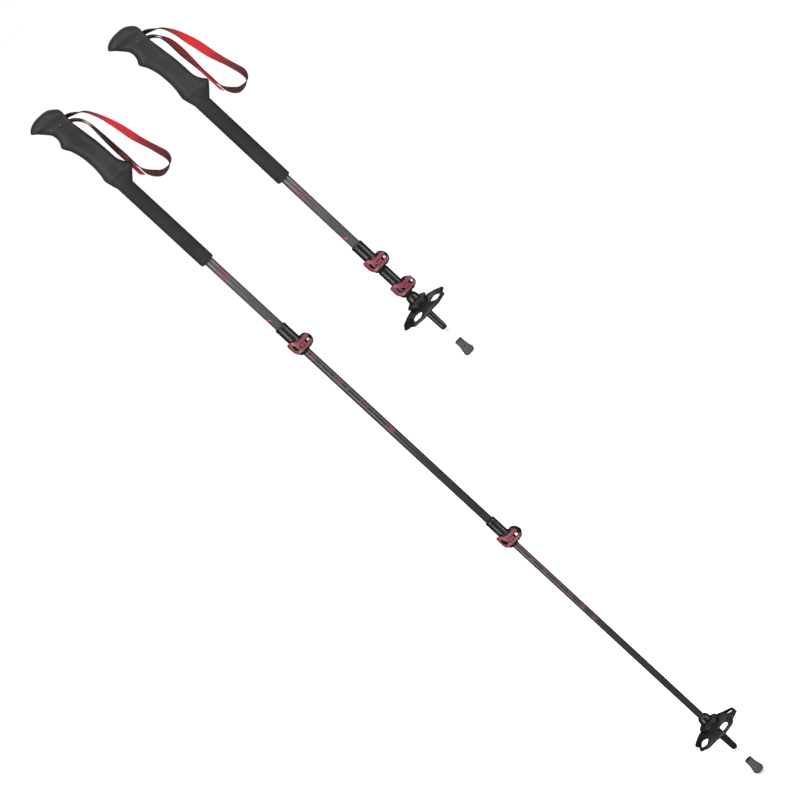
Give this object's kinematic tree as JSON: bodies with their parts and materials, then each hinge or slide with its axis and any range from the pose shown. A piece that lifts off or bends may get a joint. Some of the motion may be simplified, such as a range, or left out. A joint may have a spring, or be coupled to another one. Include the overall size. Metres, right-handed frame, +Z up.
{
  "type": "trekking poles",
  "caption": "Telescopic trekking poles with cam-lever locks, moulded grips, wrist straps, lobed baskets and rubber end caps, shown drawn out and pushed together.",
  "frame": {"origin": "where the hand closes round the grip of the drawn-out pole, on that pole's axis, 100 mm under the top of its grip", "axes": "+Z up along both poles, tips down; +X from the beak of a grip towards its strap, and from pole a to pole b; -Y is the side of the cam levers"},
  "size_m": [0.2649, 0.08, 1.3938],
  "materials": {
    "grip": "matt moulded grip",
    "foam": "matt closed-cell foam",
    "webbing": "woven webbing, red fading to near black",
    "shaft": "dark satin anodised tube",
    "collar": "black glossy moulding",
    "lever": "red satin anodised",
    "steel": "bright turned steel",
    "bush": "matt nylon",
    "basket": "black flexible plastic",
    "cap_rubber": "matt grey rubber",
    "carbide": "bright sintered point"
  },
  "bodies": {
    "pole_a": {"grip_a": "grip", "foam_sleeve_a": "foam", "upper_tube_a": "shaft", "strap_wedge_a": "bush", "strap_pin_a": "steel", "upper_collar_a": "collar", "upper_pivot_a": "steel", "upper_nut_a": "steel"},
    "strap_loop_a": {"strap_a": "webbing"},
    "upper_cam_a": {"upper_lever_a": "lever"},
    "upper_bolt_a": {"upper_screw_a": "steel"},
    "middle_section_a": {"middle_tube_a": "shaft", "middle_guide_a": "bush", "lower_collar_a": "collar", "lower_pivot_a": "steel", "lower_nut_a": "steel"},
    "lower_cam_a": {"lower_lever_a": "lever"},
    "lower_bolt_a": {"lower_screw_a": "steel"},
    "lower_section_a": {"lower_tube_a": "shaft", "lower_guide_a": "bush", "ferrule_a": "collar", "carbide_point_a": "carbide"},
    "snow_basket_a": {"basket_a": "basket"},
    "end_cap_a": {"cap_a": "cap_rubber", "cap_washer_a": "steel"},
    "pole_b": {"grip_b": "grip", "foam_sleeve_b": "foam", "upper_tube_b": "shaft", "strap_wedge_b": "bush", "strap_pin_b": "steel", "upper_collar_b": "collar", "upper_pivot_b": "steel", "upper_nut_b": "steel"},
    "strap_loop_b": {"strap_b": "webbing"},
    "upper_cam_b": {"upper_lever_b": "lever"},
    "upper_bolt_b": {"upper_screw_b": "steel"},
    "middle_section_b": {"middle_tube_b": "shaft", "middle_guide_b": "bush", "lower_collar_b": "collar", "lower_pivot_b": "steel", "lower_nut_b": "steel"},
    "lower_cam_b": {"lower_lever_b": "lever"},
    "lower_bolt_b": {"lower_screw_b": "steel"},
    "lower_section_b": {"lower_tube_b": "shaft", "lower_guide_b": "bush", "ferrule_b": "collar", "carbide_point_b": "carbide"},
    "snow_basket_b": {"basket_b": "basket"},
    "end_cap_b": {"cap_b": "cap_rubber", "cap_washer_b": "steel"}
  },
  "joints": [
    {"name": "strap_swing_a", "type": "hinge", "parent": "pole_a", "child": "strap_loop_a", "pos_m": [-0.0014, 0, 0.0734], "axis": [0, -1, 0], "range_deg": [0, 12]},
    {"name": "upper_lever_a", "type": "hinge", "parent": "pole_a", "child": "upper_cam_a", "pos_m": [0.01423, -0.01035, -0.3801], "axis": [0, 0, 1], "range_deg": [0, 115]},
    {"name": "upper_screw_turn_a", "type": "hinge", "parent": "pole_a", "child": "upper_bolt_a", "pos_m": [0.01495, -0.00118, -0.3801], "axis": [-0.0785, -0.9969, 0], "range_deg": [-180, 180]},
    {"name": "middle_slide_a", "type": "slide", "parent": "pole_a", "child": "middle_section_a", "axis": [0, 0, 1], "range_m": [0, 0.3557]},
    {"name": "lower_lever_a", "type": "hinge", "parent": "middle_section_a", "child": "lower_cam_a", "pos_m": [0.0124, -0.01226, -0.7872], "axis": [0, 0, 1], "range_deg": [0, 115]},
    {"name": "lower_screw_turn_a", "type": "hinge", "parent": "middle_section_a", "child": "lower_bolt_a", "pos_m": [0.01455, -0.00363, -0.7872], "axis": [-0.2419, -0.9703, 0], "range_deg": [-180, 180]},
    {"name": "lower_slide_a", "type": "slide", "parent": "middle_section_a", "child": "lower_section_a", "axis": [0, 0, 1], "range_m": [0, 0.3728]},
    {"name": "basket_turn_a", "type": "hinge", "parent": "lower_section_a", "child": "snow_basket_a", "pos_m": [0, 0, -1.1847], "axis": [0, 0, 1], "range_deg": [0, 360]},
    {"name": "cap_push_a", "type": "slide", "parent": "lower_section_a", "child": "end_cap_a", "axis": [0, 0, 1], "range_m": [0, 0.0368]},
    {"name": "pole_spacing", "type": "slide", "parent": "pole_a", "child": "pole_b", "axis": [1, 0, 0], "range_m": [0, 0.15]},
    {"name": "strap_swing_b", "type": "hinge", "parent": "pole_b", "child": "strap_loop_b", "pos_m": [0.1534, 0, 0.0734], "axis": [0, -1, 0], "range_deg": [0, 12]},
    {"name": "upper_lever_b", "type": "hinge", "parent": "pole_b", "child": "upper_cam_b", "pos_m": [0.16921, -0.0101, -0.3801], "axis": [0, 0, 1], "range_deg": [0, 115]},
    {"name": "upper_screw_turn_b", "type": "hinge", "parent": "pole_b", "child": "upper_bolt_b", "pos_m": [0.16977, -0.00092, -0.3801], "axis": [-0.061, -0.9981, 0], "range_deg": [-180, 180]},
    {"name": "middle_slide_b", "type": "slide", "parent": "pole_b", "child": "middle_section_b", "axis": [0, 0, -1], "range_m": [0, 0.3557]},
    {"name": "lower_lever_b", "type": "hinge", "parent": "middle_section_b", "child": "lower_cam_b", "pos_m": [0.17083, -0.00687, -0.4315], "axis": [0, 0, 1], "range_deg": [0, 115]},
    {"name": "lower_screw_turn_b", "type": "hinge", "parent": "middle_section_b", "child": "lower_bolt_b", "pos_m": [0.16967, 0.00196, -0.4315], "axis": [0.1305, -0.9914, 0], "range_deg": [-180, 180]},
    {"name": "lower_slide_b", "type": "slide", "parent": "middle_section_b", "child": "lower_section_b", "axis": [0, 0, -1], "range_m": [0, 0.3728]},
    {"name": "basket_turn_b", "type": "hinge", "parent": "lower_section_b", "child": "snow_basket_b", "pos_m": [0.1548, 0, -0.4562], "axis": [0, 0, 1], "range_deg": [0, 360]},
    {"name": "cap_push_b", "type": "slide", "parent": "lower_section_b", "child": "end_cap_b", "axis": [0, 0, 1], "range_m": [0, 0.0368]}
  ]
}
